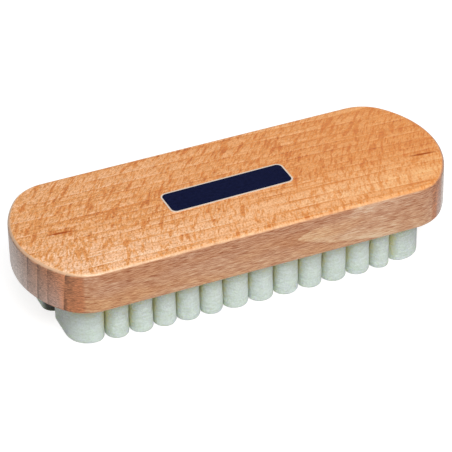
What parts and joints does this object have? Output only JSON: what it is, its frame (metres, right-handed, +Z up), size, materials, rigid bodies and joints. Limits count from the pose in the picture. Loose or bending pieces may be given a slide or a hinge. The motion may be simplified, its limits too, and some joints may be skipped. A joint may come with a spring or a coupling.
{
  "type": "suede brush",
  "caption": "Oblong wooden hand brush block with rounded ends, two rows of folded crepe rubber strip below it and a flat plain label panel on top.",
  "frame": {"origin": "centre of the footprint, on the plane that the crepe rubber rests on", "axes": "+X along the brush, +Y across it, +Z up from the crepe to the block's top face"},
  "size_m": [0.13, 0.0488, 0.028],
  "materials": {
    "beech": "satin lacquer",
    "crepe": "matte, finely wrinkled",
    "glue": "set contact glue",
    "label": "printed film, satin"
  },
  "bodies": {
    "root": {"beech_block": "beech", "glue_bed": "glue", "crepe_strip_front": "crepe", "crepe_strip_back": "crepe", "label": "label"}
  },
  "joints": []
}
